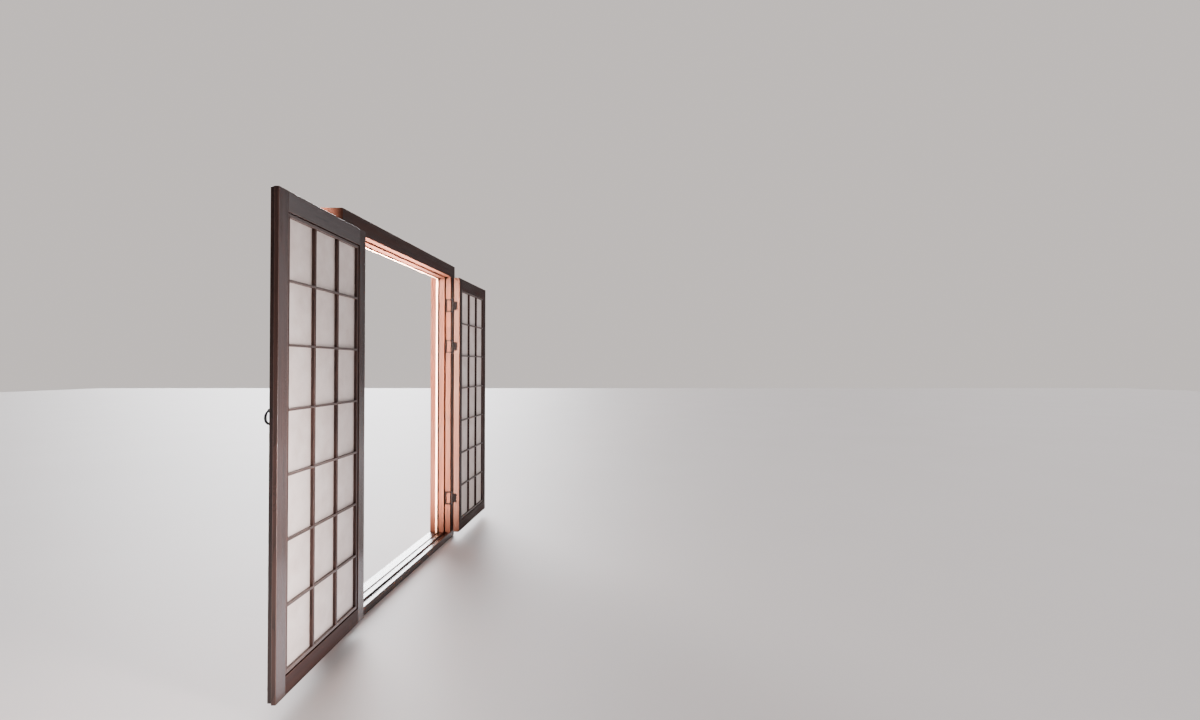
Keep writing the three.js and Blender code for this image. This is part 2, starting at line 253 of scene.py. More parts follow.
def timber_finish(name, grain, tones, seed, turn=0.0, wax=0.0):
    """Stained and oiled softwood. Its growth rings run about a pith outside the timber, a little out of
    line with it, so that faces and ends show one grain, and they bend round knots. tones are its early
    wood, late wood, rubbed edges and knots, turn is how far a leaf stands open, and wax is its polish."""
    material, tree, shader, place = new_finish(name)
    chance = random.Random(seed)
    pith = (chance.uniform(0.05, 0.10), chance.uniform(0.02, 0.07), chance.uniform(-9, 9))
    lean = chance.uniform(-GRAIN_LEAN, GRAIN_LEAN)
    sway = chance.uniform(-GRAIN_LEAN, GRAIN_LEAN)
    along = (math.pi / 2 + lean, turn - math.pi / 2, sway) if grain == "X" else (lean, sway, turn)
    place = node(tree, "ShaderNodeMapping", {"Vector": place, "Rotation": along, "Location": pith})

    slow = vectors(tree, "MULTIPLY", place, (1, 1, 0.1))
    drift = node(tree, "ShaderNodeTexNoise", {"Vector": slow, "Scale": 8.0, "Detail": 3.0}, out="Color")
    drift = vectors(tree, "SUBTRACT", drift, (0.5, 0.5, 0.5))
    drift = vectors(tree, "MULTIPLY", drift, (0.03, 0.03, 0.03))
    bent = vectors(tree, "ADD", place, drift)
    squat = vectors(tree, "MULTIPLY", bent, (1, 1, 0.55))
    inputs = {"Vector": squat, "Scale": KNOTS_PER_METRE, "Randomness": 1.0}
    knot = sums(tree, "DIVIDE", node(tree, "ShaderNodeTexVoronoi", inputs), KNOTS_PER_METRE)
    swirl = sums(tree, "MULTIPLY", spread(tree, knot, 0.0, KNOT_REACH, 1.0, 0.0), KNOT_SWIRL)
    flat = vectors(tree, "MULTIPLY", bent, (1, 1, 0))
    radius = node(tree, "ShaderNodeVectorMath", {0: flat}, out="Value", operation="LENGTH")
    rings = sums(tree, "FRACT", sums(tree, "DIVIDE", sums(tree, "ADD", radius, swirl), RING_WIDTH))
    late = sums(tree, "POWER", rings, 2.4)  # a ring darkens slowly and ends at once

    fine = vectors(tree, "MULTIPLY", bent, (1, 1, 0.016))
    fibre = clouds(tree, fine, 1100.0, 3.0)
    streak = clouds(tree, fine, 210.0, 3.0)
    broad = clouds(tree, fine, 46.0, 2.0)
    cloud = clouds(tree, slow, 24.0, 4.0)
    strain = clouds(tree, vectors(tree, "MULTIPLY", bent, (1, 1, 0.03)), 95.0, 0.0)
    check = spread(tree, strain, 0.775, 0.80)  # only the peaks open

    early_tone, late_tone, rubbed_tone, knot_tone = tones
    colour = mixed(tree, late, early_tone, late_tone)
    colour = mixed(tree, spread(tree, streak, 0.52, 0.75, 0, 0.55), colour, late_tone)
    colour = dimmed(tree, colour, fibre, 0.25, 0.75, 0.84, 1.1)
    colour = dimmed(tree, colour, broad, 0.3, 0.7, 0.78, 1.16)
    colour = dimmed(tree, colour, cloud, 0.3, 0.7, 0.84, 1.12)
    colour = mixed(tree, spread(tree, knot, 0.004, 0.009, 0.85, 0.0), colour, knot_tone)
    colour = mixed(tree, sums(tree, "MULTIPLY", check, 0.7), colour, knot_tone)
    colour = mixed(tree, rubbed_parts(tree, cloud, 0.35, 0.6, 0.1, 0.8), colour, rubbed_tone)
    tree.links.new(colour, shader.inputs["Base Color"])
    tree.links.new(spread(tree, cloud, 0.3, 0.7, 0.46, 0.66), shader.inputs["Roughness"])
    shader.inputs["Specular IOR Level"].default_value = TIMBER_SHINE
    shader.inputs["Coat Weight"].default_value = wax
    shader.inputs["Coat Roughness"].default_value = WAX_ROUGHNESS

    height = sums(tree, "SUBTRACT", sums(tree, "ADD", late, fibre), sums(tree, "MULTIPLY", check, 2.0))
    bump = relief(tree, shader, height, 0.4, 0.0004)
    tree.links.new(bump, shader.inputs["Coat Normal"])
    return material


FRAME_TONES = (tone(64, 35, 25), tone(46, 23, 17), tone(95, 61, 48), tone(30, 15, 11))


def stepped(outer, rebate, stop):
    """Section through a member of the main frame, as (y, distance)."""
    return [
        (sill_low.y, outer), (sill_low.y, rebate), (STOP_FRONT - HAIR, rebate), (STOP_FRONT, rebate),
        (STOP_FRONT, stop), (sill_high.y, stop), (sill_high.y, outer),
    ]


def through_timber(name, section, seed, wax):
    """A head or sill, running the whole width of its frame."""
    mesh = bmesh.new()
    sweep(mesh, section, lambda u, v, t: Vector((t, u, v)), -reach, reach, seed=seed)
    finish = timber_finish(name, "X", FRAME_TONES, seed, wax=wax)
    fit(piece(name + "_timber", mesh, finish), "frame", "frame_timber", name)


def standing_timber(name, section, low, high, seed):
    """A jamb, standing between its sill and its head."""
    mesh = bmesh.new()
    sweep(mesh, section, lambda u, v, t: Vector((v, u, t)), low, high, ease=0.0003, seed=seed)
    finish = timber_finish(name, "Z", FRAME_TONES, seed)
    fit(piece(name + "_timber", mesh, finish), "frame", "frame_timber", name)


def jamb_foot(u, _):
    return (rebate_bottom if u < STOP_FRONT - HAIR / 2 else sill_high.z) - LET_IN


def jamb_top(u, _):
    return (rebate_top if u < STOP_FRONT - HAIR / 2 else head_low.z) + LET_IN


through_timber("sill", stepped(0, rebate_bottom, sill_high.z), 3, SILL_WAX)
through_timber("head", stepped(head_high.z, rebate_top, head_low.z), 5, HEAD_WAX)
for name, side in (("near_jamb", -1), ("far_jamb", 1)):
    section = stepped(side * reach, side * rebate_x, side * stop_x)
    standing_timber(name, section, jamb_foot, jamb_top, 9 + side)

# The outer casing. A second frame of the same softwood behind the main one, which carries the draught
# bead. It is fixed to the main frame from behind.
casing_low, casing_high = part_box("outer_sill")
casing_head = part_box("outer_head")[0].z
casing_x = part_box("far_outer_jamb")[0].x


def plain(outer, face):
    """Section through a member of the casing, as (y, distance)."""
    return [(casing_low.y, outer), (casing_low.y, face), (casing_high.y, face), (casing_high.y, outer)]


through_timber("outer_sill", plain(0, casing_high.z), 21, SILL_WAX)
through_timber("outer_head", plain(head_high.z, casing_head), 23, HEAD_WAX)
for name, side in (("near_outer_jamb", -1), ("far_outer_jamb", 1)):
    section = plain(side * reach, side * casing_x)
    standing_timber(name, section, casing_high.z - LET_IN, casing_head + LET_IN, 29 + side)

# The draught bead. An off-white painted batten along the casing's head and jambs, and a black rubber
# seal on its room side. The head's lengths run through and the others butt up to them.
BEAD_ARRIS = 0.0024
SEAL_ARRIS = 0.0005
PAINT_TONES = (tone(196, 168, 153), tone(186, 156, 140), tone(160, 130, 112))
# Painted shade: the seal's rubber is toned near black, darker than rubber is, so that its line stays dark
# as shade under strong light.
RUBBER_SHADE_TONES = (tone(2, 2, 2), tone(9, 8, 8))


def strip(name, material, arris, slot):
    """One straight length of bead or seal, in place of its plain solid."""
    low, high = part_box(name)
    mesh = bmesh.new()
    if high.x - low.x > high.z - low.z:
        section = [(low.y, low.z), (high.y, low.z), (high.y, high.z), (low.y, high.z)]
        sweep(mesh, section, lambda u, v, t: Vector((t, u, v)), low.x, high.x, arris=arris, ease=HAIR)
    else:
        section = [(low.y, low.x), (high.y, low.x), (high.y, high.x), (low.y, high.x)]
        sweep(mesh, section, lambda u, v, t: Vector((v, u, t)), low.z, high.z, arris=arris, ease=HAIR)
    fit(piece(name + "_strip", mesh, material), "frame", slot, name)


def paint_finish():
    """Eggshell paint over wood, thin and a little yellowed where it is handled."""
    material, tree, shader, place = new_finish("bead paint")
    fresh, yellowed, bare = PAINT_TONES
    cloud = clouds(tree, place, 16.0, 4.0)
    brushed = clouds(tree, vectors(tree, "MULTIPLY", place, (1, 1, 0.05)), 420.0, 2.0)
    colour = mixed(tree, spread(tree, cloud, 0.35, 0.7), fresh, yellowed)
    colour = mixed(tree, rubbed_parts(tree, cloud, 0.5, 0.66, 0.0, 0.6), colour, bare)
    tree.links.new(colour, shader.inputs["Base Color"])
    shader.inputs["Roughness"].default_value = 0.42
    relief(tree, shader, brushed, 0.2, 0.0002)
    return material


def rubber_finish():
    """Black cellular rubber, dusty and matt, toned near black as painted shade."""
    material, tree, shader, place = new_finish("seal rubber")
    clean, dusty = RUBBER_SHADE_TONES
    dust = clouds(tree, place, 60.0, 5.0)
    pores = clouds(tree, place, 2600.0, 1.0)
    colour = mixed(tree, spread(tree, dust, 0.4, 0.8), clean, dusty)
    tree.links.new(colour, shader.inputs["Base Color"])
    shader.inputs["Roughness"].default_value = 0.75
    shader.inputs["Specular IOR Level"].default_value = 0.05
    relief(tree, shader, pores, 0.5, 0.0002)
    return material


bead_paint, seal_rubber = paint_finish(), rubber_finish()
for where in ("head", "near", "far"):
    strip(where + "_bead", bead_paint, BEAD_ARRIS, "pale_bead")
    strip(where + "_seal", seal_rubber, SEAL_ARRIS, "black_rubber")

# The leaves' timbers. Each leaf has two stiles that run its full height and two rails tenoned between
# them, stained darker than the frame. The meeting stiles are rebated, so that one laps over the other.
PIN_TO_FACE = 0.049  # from the pins to the leaf's outdoor face, when it is closed
EDGE_GAP = 0.0025
LEAF_WIDTH = 0.724
LEAF_HEIGHT = 1.880
LEAF_THICKNESS = 0.038
STILE = 0.062
TOP_RAIL = 0.078
BOTTOM_RAIL = 0.070
TONGUE = 0.013
TONGUE_DEPTH = 0.017
LAP_GAP = 0.005
SHOULDER = 0.0003  # the joint line left at a rail's shoulder
LEAF_ARRIS = 0.0014
LEAF_TONES = (tone(61, 36, 29), tone(44, 25, 20), tone(98, 70, 61), tone(29, 16, 13))
# Painted sheen: the used meeting stile is toned lighter than the leaves' other timbers of the same wood,
# for the bright sheen along its face.
MEETING_SHEEN_TONES = (tone(67, 43, 37), tone(48, 31, 26), tone(106, 80, 72), tone(31, 19, 16))
USED_POLISH = {"hinge_stile": 0.8, "meeting_stile": 1.0, "top_rail": 0.8, "bottom_rail": 0.1}
SPARE_POLISH = 0.05  # the far leaf is seldom moved
joints = {joint["name"]: joint for joint in frame["joints"]}


class Leaf:
    """A leaf's own directions: s from the hinge edge, d in from the outdoor face, h up from the foot."""

    def __init__(self, name, side, used):
        swing = joints[f"{name}_swing"]
        self.name, self.side, self.used = name, side, used
        self.turn = math.radians(side * swing["range_deg"][1])
        self.hang = Matrix.Translation(swing["pos_m"]) @ Matrix.Rotation(self.turn, 4, "Z")

    def at(self, s, d, h):
        return self.hang @ Vector((-self.side * (s + EDGE_GAP), PIN_TO_FACE - d, h))

    def crosswise(self, d, h, s):
        """The same place for a section that runs from stile to stile."""
        return self.at(s, d, h)

    def across(self, s, d, h):
        return self.at(s, d, h) - self.at(0, 0, 0)

    def piece(self, part, mesh, material):
        return piece(f"{self.name}_{part}", mesh, material)

    def fit(self, made, slot, *nodes):
        fit(made, self.name, slot, *[f"{self.name}_{n}" for n in nodes])

    def finish(self, part, grain, seed, tones, wax):
        return timber_finish(f"{self.name}_{part}", grain, tones, seed, self.turn, wax=wax)

    def fit_timber(self, part, mesh, grain, seed, tones):
        """A finished stile or rail, polished as far as the leaf is used."""
        wax = USED_POLISH[part] if self.used else SPARE_POLISH
        finish = self.finish(part, grain, seed, tones, wax)
        self.fit(self.piece(part + "_timber", mesh, finish), "leaf_timber", part)


leaves = [Leaf("near_leaf", -1, True), Leaf("far_leaf", 1, False)]


def meeting_section(tongue_outside):
    """Section of a meeting stile, as (s, d): half its thickness runs on as a tongue."""
    short, full = LEAF_WIDTH - TONGUE, LEAF_WIDTH
    outer, inner = (full, short) if tongue_outside else (short, full)
    step = TONGUE_DEPTH if tongue_outside else TONGUE_DEPTH + LAP_GAP
    root, back = LEAF_WIDTH - STILE, LEAF_THICKNESS
    return [(root, 0), (outer, 0), (outer, step), (inner, step), (inner, back), (root, back)]


for leaf in leaves:
    hinge_section = [(0, 0), (STILE, 0), (STILE, LEAF_THICKNESS), (0, LEAF_THICKNESS)]
    stiles = {"hinge_stile": hinge_section, "meeting_stile": meeting_section(leaf.used)}
    for seed, (part, section) in enumerate(stiles.items(), 40 + 4 * leaf.side):
        mesh = bmesh.new()
        sweep(mesh, section, leaf.at, 0, LEAF_HEIGHT, arris=LEAF_ARRIS, seed=seed)
        # the used meeting stile takes the lighter tones of its painted sheen
        tones = MEETING_SHEEN_TONES if part == "meeting_stile" and leaf.used else LEAF_TONES
        leaf.fit_timber(part, mesh, "Z", seed, tones)
    rails = {"top_rail": (LEAF_HEIGHT - TOP_RAIL, LEAF_HEIGHT), "bottom_rail": (0, BOTTOM_RAIL)}
    for seed, (part, (low, high)) in enumerate(rails.items(), 60 + 4 * leaf.side):
        mesh = bmesh.new()
        section = [(0, low), (LEAF_THICKNESS, low), (LEAF_THICKNESS, high), (0, high)]
        ends = (STILE + SHOULDER, LEAF_WIDTH - STILE - SHOULDER)
        sweep(mesh, section, leaf.crosswise, *ends, arris=LEAF_ARRIS, ease=0.0003, seed=seed)
        leaf.fit_timber(part, mesh, "X", seed, LEAF_TONES)

# The lattices. A mitred border strip stands in from the stiles and rails behind a shadow groove, on a
# thin flange. The bars let into it leave three columns of seven rows, and its cross bars are halved over
# the uprights and stand a hair proud of them.
COLUMNS = 3
ROWS = 7
GROOVE = 0.005
BORDER = 0.012
UPRIGHT_BAR = 0.012
CROSS_BAR = 0.009
LATTICE_FRONT = 0.0035
LATTICE_BACK = 0.0175
FLANGE_FRONT = 0.0115
CROSS_PROUD = 0.0004
BAR_ARRIS = 0.0009
BAR_PLAY = 0.0003
UPRIGHT_WAX = 0.35
CROSS_WAX = 0.5
# Painted light: the lattice is the same wood as the stiles and rails, but its uprights are toned lighter
# to lift their shaded sides, and its cross bars lighter still as a painted sheen.
UPRIGHT_LIGHTENED_TONES = (tone(72, 51, 46), tone(51, 35, 32), tone(124, 99, 91), tone(34, 22, 20))
CROSS_SHEEN_TONES = (tone(92, 74, 69), tone(70, 55, 51), tone(136, 114, 107), tone(44, 31, 28))
field_s = (STILE, LEAF_WIDTH - STILE)
field_h = (BOTTOM_RAIL, LEAF_HEIGHT - TOP_RAIL)
clear_s = [field_s[0] + GROOVE + BORDER, field_s[1] - GROOVE - BORDER]
clear_h = [field_h[0] + GROOVE + BORDER, field_h[1] - GROOVE - BORDER]
column_pitch = (clear_s[1] - clear_s[0] + UPRIGHT_BAR) / COLUMNS
row_pitch = (clear_h[1] - clear_h[0] + CROSS_BAR) / ROWS


def new_tree(name, sockets, result):
    """A tree of geometry nodes with named inputs and one result, and those inputs."""
    tree = bpy.data.node_groups.new(name, "GeometryNodeTree")
    for label, kind in sockets.items():
        tree.interface.new_socket(label, in_out="INPUT", socket_type="NodeSocket" + kind)
    tree.interface.new_socket(result, in_out="OUTPUT", socket_type="NodeSocketGeometry")
    return tree, tree.nodes.new("NodeGroupInput").outputs


def end_tree(tree, copies, finish):
    """Ends a tree with its copies made real and given their finish."""
    copies = node(tree, "GeometryNodeRealizeInstances", {"Geometry": copies})
    copies = node(tree, "GeometryNodeSetMaterial", {"Geometry": copies, "Material": finish})
    tree.links.new(copies, tree.nodes.new("NodeGroupOutput").inputs[0])
    return tree


def repeat_tree():
    """Geometry nodes that repeat one bar in columns and rows, each a hair out of line as hand work is."""
    sockets = {
        "Bar": "Geometry", "Columns": "Int", "Rows": "Int", "Column pitch": "Vector",
        "Row pitch": "Vector", "Play": "Float", "Seed": "Int", "Finish": "Material",
    }
    tree, given = new_tree("repeated bar", sockets, "Bars")
    index = node(tree, "GeometryNodeInputIndex", {})
    column = sums(tree, "MODULO", index, given["Columns"])
    row = sums(tree, "FLOOR", sums(tree, "DIVIDE", index, given["Columns"]))
    inputs = {0: given["Column pitch"], "Scale": column}
    over = node(tree, "ShaderNodeVectorMath", inputs, operation="SCALE")
    inputs = {0: given["Row pitch"], "Scale": row}
    up = node(tree, "ShaderNodeVectorMath", inputs, operation="SCALE")
    under = sums(tree, "MULTIPLY", given["Play"], -1.0)
    inputs = {"Min": under, "Max": given["Play"], "Seed": given["Seed"]}
    play = node(tree, "FunctionNodeRandomValue", inputs, data_type="FLOAT_VECTOR")
    place = vectors(tree, "ADD", vectors(tree, "ADD", over, up), play)
    count = sums(tree, "MULTIPLY", given["Columns"], given["Rows"])
    points = node(tree, "GeometryNodePoints", {"Count": count, "Position": place})
    inputs = {"Points": points, "Instance": given["Bar"]}
    return end_tree(tree, node(tree, "GeometryNodeInstanceOnPoints", inputs), given["Finish"])


def run_tree(host, tree, **values):
    """Runs a tree on a piece with the named inputs, and leaves the piece a plain mesh of the result."""
    modifier = host.modifiers.new(tree.name, "NODES")
    modifier.node_group = tree
    for item in tree.interface.items_tree:
        key = item.name.lower().replace(" ", "_")
        if item.in_out == "INPUT" and key in values:
            modifier[item.identifier] = values[key]
    evaluated = host.evaluated_get(bpy.context.evaluated_depsgraph_get())
    result = bpy.data.meshes.new_from_object(evaluated)
    host.modifiers.remove(modifier)
    host.data = result


repeated_bar = repeat_tree()


def border_strips(sides, seed):
    """Two opposite strips of the border, mitred at both ends. sides are (how to place, (start, end))."""
    mesh = bmesh.new()
    edge, groove, inside = SHOULDER, GROOVE, GROOVE + BORDER
    section = [
        (edge, FLANGE_FRONT), (groove, FLANGE_FRONT), (groove, LATTICE_FRONT),
        (inside, LATTICE_FRONT), (inside, LATTICE_BACK), (edge, LATTICE_BACK),
    ]
    for step, (place, (low, high)) in enumerate(sides):
        sweep(
            mesh, section, place, lambda u, v: low + u + HAIR / 2, lambda u, v: high - u - HAIR / 2,
            arris=BAR_ARRIS, ease=0.0001, seed=seed + step,
        )
    return mesh


def fit_bars(leaf, part, section, place, ends, finish, seed, **repeat):
    """All the bars that run one way: one is swept, and the others repeat it."""
    mesh = bmesh.new()
    sweep(mesh, section, place, *ends, arris=BAR_ARRIS, ease=HAIR, seed=seed + 6)
    bars = leaf.piece(part, mesh, finish)
    run_tree(bars, repeated_bar, play=BAR_PLAY, seed=seed, finish=finish, **repeat)
    leaf.fit(bars, "leaf_timber", "lattice")


for leaf in leaves:
    seed = 80 + 9 * leaf.side
    upright_finish = leaf.finish("lattice_uprights", "Z", seed, UPRIGHT_LIGHTENED_TONES, UPRIGHT_WAX)
    cross_finish = leaf.finish("lattice_cross_bars", "X", seed + 1, CROSS_SHEEN_TONES, CROSS_WAX)
    left = lambda u, v, t: leaf.at(field_s[0] + u, v, t)
    right = lambda u, v, t: leaf.at(field_s[1] - u, v, t)
    bottom = lambda u, v, t: leaf.at(t, v, field_h[0] + u)
    top = lambda u, v, t: leaf.at(t, v, field_h[1] - u)
    mesh = border_strips([(left, field_h), (right, field_h)], seed + 2)
    leaf.fit(leaf.piece("border_uprights", mesh, upright_finish), "leaf_timber", "lattice")
    mesh = border_strips([(bottom, field_s), (top, field_s)], seed + 4)
    leaf.fit(leaf.piece("border_rails", mesh, cross_finish), "leaf_timber", "lattice")

    s, h = clear_s[0] + column_pitch, clear_h[0] + row_pitch
    front, back = LATTICE_FRONT, LATTICE_BACK
    section = [(s - UPRIGHT_BAR, front), (s, front), (s, back), (s - UPRIGHT_BAR, back)]
    fit_bars(
        leaf, "lattice_uprights", section, leaf.at, clear_h, upright_finish, seed,
        columns=COLUMNS - 1, rows=1, column_pitch=leaf.across(column_pitch, 0, 0), row_pitch=(0, 0, 0),
    )
    front, back = LATTICE_FRONT - CROSS_PROUD, LATTICE_BACK - CROSS_PROUD
    section = [(front, h - CROSS_BAR), (back, h - CROSS_BAR), (back, h), (front, h)]
    fit_bars(
        leaf, "lattice_cross_bars", section, leaf.crosswise, clear_s, cross_finish, seed + 1,
        columns=1, rows=ROWS - 1, column_pitch=(0, 0, 0), row_pitch=(0, 0, row_pitch),
    )

# The paper. One sheet of white mulberry paper is stuck with paste to the back of each lattice and its
# border. It is drum-tight, but cockles by a hair inside each opening. It is darker over the bars and just
# beside them, partly for the paste and partly as painted shadow of the bars seen through it.
PAPER_THICKNESS = 0.0008
PASTE_SEAT = 0.0003
COCKLE = 0.0005
PASTE_AND_SHADOW_EDGE = 0.0012
PANES_PER_CELL = 6
PAPER_TONES = (tone(242, 229, 222), tone(226, 210, 202))
FIBRE_TONE = tone(252, 244, 238)
PASTE_AND_SHADOW_TONE = tone(190, 172, 158)


def sheet_lines(low, high, clear, pitch, bar):
    """Lines across a sheet in one direction, as (place, how darkened, share of the way through a cell).
    """
    lines = [(low, 1.0, 0.0)]
    start = clear[0]
    while start < clear[1] - bar:
        end = start + pitch - bar
        lines.append((start, 1.0, 0.0))
        run = end - start - 2 * PASTE_AND_SHADOW_EDGE
        for i in range(PANES_PER_CELL + 1):
            share = i / PANES_PER_CELL
            lines.append((start + PASTE_AND_SHADOW_EDGE + run * share, 0.0, share))
        lines.append((end, 1.0, 1.0))
        start += pitch
    return lines + [(high, 1.0, 0.0)]


def paper_sheet(leaf):
    """A closed sheet with two faces, cockled inside each cell of the lattice."""
    mesh = bmesh.new()
    pasted_and_shaded = mesh.verts.layers.float.new("pasted_and_shaded")
    across = sheet_lines(field_s[0] + SHOULDER, field_s[1] - SHOULDER, clear_s, column_pitch, UPRIGHT_BAR)
    up = sheet_lines(field_h[0] + SHOULDER, field_h[1] - SHOULDER, clear_h, row_pitch, CROSS_BAR)
    faces = []
    for d in (LATTICE_BACK + PASTE_SEAT, LATTICE_BACK + PASTE_SEAT + PAPER_THICKNESS):
        grid = []
        for h, darkened_h, share_h in up:
            row = []
            for s, darkened_s, share_s in across:
                dome = math.sin(math.pi * share_s) * math.sin(math.pi * share_h)
                ripple = noise.noise((s * 17, h * 13, leaf.side * 5))
                vertex = mesh.verts.new(leaf.at(s, d + COCKLE * dome * (0.5 + 1.6 * ripple), h))
                vertex[pasted_and_shaded] = max(darkened_h, darkened_s)
                row.append(vertex)
            grid.append(row)
        faces.append(grid)
    front, back = faces
    rows, columns = range(len(up) - 1), range(len(across) - 1)
    for j in rows:
        for i in columns:
            mesh.faces.new((front[j][i], front[j][i + 1], front[j + 1][i + 1], front[j + 1][i]))
            mesh.faces.new((back[j][i], back[j + 1][i], back[j + 1][i + 1], back[j][i + 1]))
    for i in columns:
        for j in (0, -1):
            mesh.faces.new((front[j][i], front[j][i + 1], back[j][i + 1], back[j][i]))
    for j in rows:
        for i in (0, -1):
            mesh.faces.new((front[j][i], front[j + 1][i], back[j + 1][i], back[j][i]))
    for face in mesh.faces:
        face.smooth = True
    bmesh.ops.recalc_face_normals(mesh, faces=mesh.faces)
    return mesh


def paper_finish():
    """Mulberry paper: long pale fibres lying every way, a cloudy pulp, and browner over the bars, for
    paste and painted shadow.
    """
    material, tree, shader, place = new_finish("mulberry paper")
    cloud = clouds(tree, place, 13.0, 5.0)
    colour = mixed(tree, spread(tree, cloud, 0.35, 0.7), *PAPER_TONES)
    height = cloud
    for turn, length in ((0.4, 0.05), (-0.9, 0.07), (1.9, 0.06)):
        laid = node(tree, "ShaderNodeMapping", {"Vector": place, "Rotation": (0, turn, 0)})
        laid = vectors(tree, "MULTIPLY", laid, (1, 1, length))
        inputs = {"Vector": laid, "Scale": 420.0, "Detail": 2.0, "Distortion": 1.2}
        fibre = spread(tree, node(tree, "ShaderNodeTexNoise", inputs), 0.62, 0.74)
        colour = mixed(tree, sums(tree, "MULTIPLY", fibre, 0.35), colour, FIBRE_TONE)
        height = sums(tree, "ADD", height, fibre)
    pasted_and_shaded = node(tree, "ShaderNodeAttribute", {}, out="Fac", attribute_name="pasted_and_shaded")
    # Browner over the bars and just beside them: partly paste, partly painted shadow of the bars seen
    # through the paper.
    colour = mixed(tree, sums(tree, "MULTIPLY", pasted_and_shaded, 0.4), colour, PASTE_AND_SHADOW_TONE)
    tree.links.new(colour, shader.inputs["Base Color"])
    shader.inputs["Roughness"].default_value = 0.86
    shader.inputs["Specular IOR Level"].default_value = 0.3
    relief(tree, shader, height, 0.25, 0.0003)
    return material


paper = paper_finish()
for leaf in leaves:
    leaf.fit(leaf.piece("paper_sheet", paper_sheet(leaf), paper), "paper", "paper")

# The hinges. Three to a leaf, of blackened steel: a C-shaped plate and two knuckles on the jamb, and a
# scalloped plate that nests into it with the middle knuckle on the leaf. A headed pin runs through.
PLATE = 0.0022
HINGE_END = 0.050
WINDOW_END = 0.037
WINDOW_REACH = 0.040
JAMB_PLATE_REACH = 0.050
JAMB_KNUCKLE_START = 0.035
LEAF_KNUCKLE_END = 0.034
LEAF_PLATE_REACH = 0.035
LEAF_PLATE_END = 0.033
LEAF_PLATE_SEAM = 0.0055
KNUCKLE_RADIUS = 0.008
KNUCKLE_SIDES = 28
PIN_HEAD = 0.006
PIN_HEAD_RISE = 0.003
PIN_HEAD_RIM = 0.3  # of its rise
PIN_HEAD_CUTS = 4
SEAM_DEPTH = 0.0009
SCALLOP = 0.005
SCALLOP_CUTS = 8
SCALLOP_OFFSET = 0.011
PLATE_CORNER = 0.004
WING_LAP = 0.001
WING_INSET = 0.0001
HINGES = ("top", "upper", "bottom")


def iron_finish(name, dark, light, bright, roughness, shine, depth):
    """Blackened iron: a matt skin of scale as rough as depth, thin patches of oxide, and bare metal where
    it is rubbed. On the hinge knuckles the bare metal is also a painted highlight."""
    material, tree, shader, place = new_finish(name)
    skin = clouds(tree, place, 160.0, 6.0)
    grit = clouds(tree, place, 1400.0, 3.0)
    colour = mixed(tree, spread(tree, skin, 0.4, 0.68), dark, light)
    colour = mixed(tree, rubbed_parts(tree, skin, 0.42, 0.6, 0.05, 0.7), colour, bright)
    tree.links.new(colour, shader.inputs["Base Color"])
    shader.inputs["Specular IOR Level"].default_value = shine
    patches = spread(tree, skin, 0.3, 0.7, roughness - 0.08, roughness + 0.14)
    tree.links.new(patches, shader.inputs["Roughness"])
    relief(tree, shader, sums(tree, "ADD", skin, grit), 0.4, depth)
    return material


hinge_steel = iron_finish(
    "blackened steel", tone(6, 7, 9), tone(11, 12, 15), tone(31, 31, 34),
    roughness=0.78, shine=0.01, depth=0.0003,
)


def turn_profile(mesh, profile, place, sides=24, closed=False, uneven=0.0, seed=0):
    """Adds a turned form to a bmesh. place turns (across, across, along) into a point, and the profile is
    (radius, along, how rubbed). A closed profile makes a ring, and one that ends at radius 0 a solid."""
    rubbed = mesh.verts.layers.float.get("rubbed") or mesh.verts.layers.float.new("rubbed")
    loops = []
    for radius, along, *rub in profile:
        loop = []
        for i in range(1 if radius == 0 else sides):
            angle = 2 * math.pi * i / sides
            c, s = math.cos(angle), math.sin(angle)
            r = radius + uneven * noise.noise((c * 4 + along * 300, s * 4, seed + radius * 300))
            vertex = mesh.verts.new(place(r * c, r * s, along))
            vertex[rubbed] = rub[0] if rub else 0.0
            loop.append(vertex)
        loops.append(loop)
    made = []
    for a, b in zip(loops, loops[1:] + (loops[:1] if closed else [])):
        for i in range(sides):
            if len(a) == 1:
                corners = [a[0], b[i], b[i - 1]]
            elif len(b) == 1:
                corners = [a[i - 1], a[i], b[0]]
            else:
                corners = [a[i - 1], a[i], b[i], b[i - 1]]
            face = mesh.faces.new(corners)
            face.smooth = True
            made.append(face)
    bmesh.ops.recalc_face_normals(mesh, faces=made)


def knuckle(mesh, pin, low, high, seam):
    """Rolled knuckle: a tube end with eased rims and a seam where the plate closes."""
    section = []
    for i in range(KNUCKLE_SIDES):
        angle = 2 * math.pi * i / KNUCKLE_SIDES
        radius = KNUCKLE_RADIUS - (SEAM_DEPTH if i == 0 else 0)
        section.append((radius * math.cos(angle + seam), radius * math.sin(angle + seam)))
    place = lambda u, v, t: pin + Vector((u, v, t))
    before = len(mesh.verts)
    sweep(mesh, section, place, low, high, arris=0.0002, ease=0.0008, pitch=0.02)
    # The whole knuckle takes the bare-metal tone, beyond the wear at its rims, as a painted highlight
    # along the barrel.
    rubbed = mesh.verts.layers.float["rubbed"]
    for vertex in list(mesh.verts)[before:]:
        vertex[rubbed] = 1.0


def seam_angle(side):
    return math.pi * (0.25 if side > 0 else 0.75)


def pin_head(mesh, pin, level, up):
    """Domed head at one end of the pin."""
    profile = [(0, 0), (PIN_HEAD, 0), (PIN_HEAD, PIN_HEAD_RIM * PIN_HEAD_RISE)]
    for i in range(1, PIN_HEAD_CUTS + 1):
        angle = math.pi / 2 * i / PIN_HEAD_CUTS
        rise = PIN_HEAD_RISE * (PIN_HEAD_RIM + (1 - PIN_HEAD_RIM) * math.sin(angle))
        profile.append((PIN_HEAD * math.cos(angle) if i < PIN_HEAD_CUTS else 0, rise, 0.6))
    place = lambda u, v, t: pin + Vector((u, v, level + up * t))
    turn_profile(mesh, profile, place)


